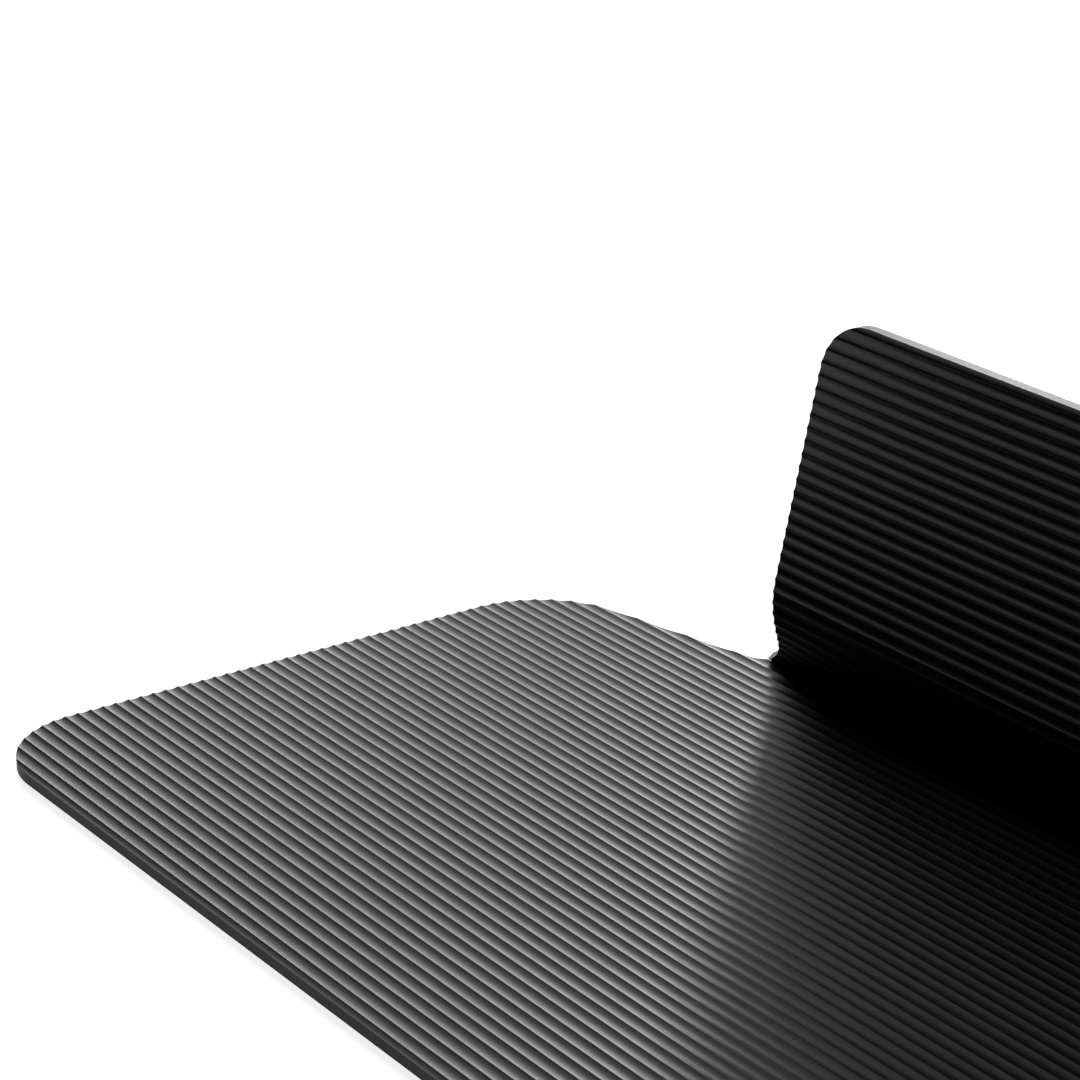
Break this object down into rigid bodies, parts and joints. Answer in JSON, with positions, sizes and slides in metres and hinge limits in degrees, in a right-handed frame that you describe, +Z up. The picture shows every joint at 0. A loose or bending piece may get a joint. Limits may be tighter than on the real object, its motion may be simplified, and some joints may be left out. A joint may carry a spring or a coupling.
{
  "type": "slant board",
  "caption": "Folding slant board: wide fluted platform with rounded corners, narrower bent back panel on a friction hinge, rubber feet and grip strips.",
  "frame": {"origin": "on the floor, under the middle of the whole board as it stands", "axes": "+X along the hinge to the board's right, +Y from the front edge to the hinge, +Z up"},
  "size_m": [0.6, 0.3232, 0.1873],
  "materials": {
    "black_plate": "black anodised, satin",
    "hinge_steel": "blackened satin steel",
    "fastener_steel": "plated steel",
    "sleeve_spring": "spring steel",
    "cap_plastic": "moulded nylon",
    "rubber": "matte"
  },
  "bodies": {
    "platform": {"platform_plate": "black_plate", "platform_hinge_leaf": "hinge_steel", "platform_leaf_screws": "fastener_steel", "friction_sleeve_left": "sleeve_spring", "friction_sleeve_right": "sleeve_spring", "hinge_end_cap_left": "cap_plastic", "hinge_end_cap_right": "cap_plastic", "front_grip_strip": "rubber", "middle_grip_strip": "rubber", "foot_left": "rubber", "foot_right": "rubber", "foot_washers": "fastener_steel", "foot_screws": "fastener_steel"},
    "panel": {"back_panel": "black_plate", "panel_hinge_leaf": "hinge_steel", "panel_leaf_screws": "fastener_steel", "hinge_pin": "hinge_steel", "pin_lock_left": "fastener_steel", "pin_lock_right": "fastener_steel", "tip_grip_strip": "rubber"}
  },
  "joints": [
    {"name": "hinge", "type": "hinge", "parent": "platform", "child": "panel", "pos_m": [0, 0.1584, 0.00605], "axis": [-1, 0, 0], "range_deg": [0, 270]}
  ]
}
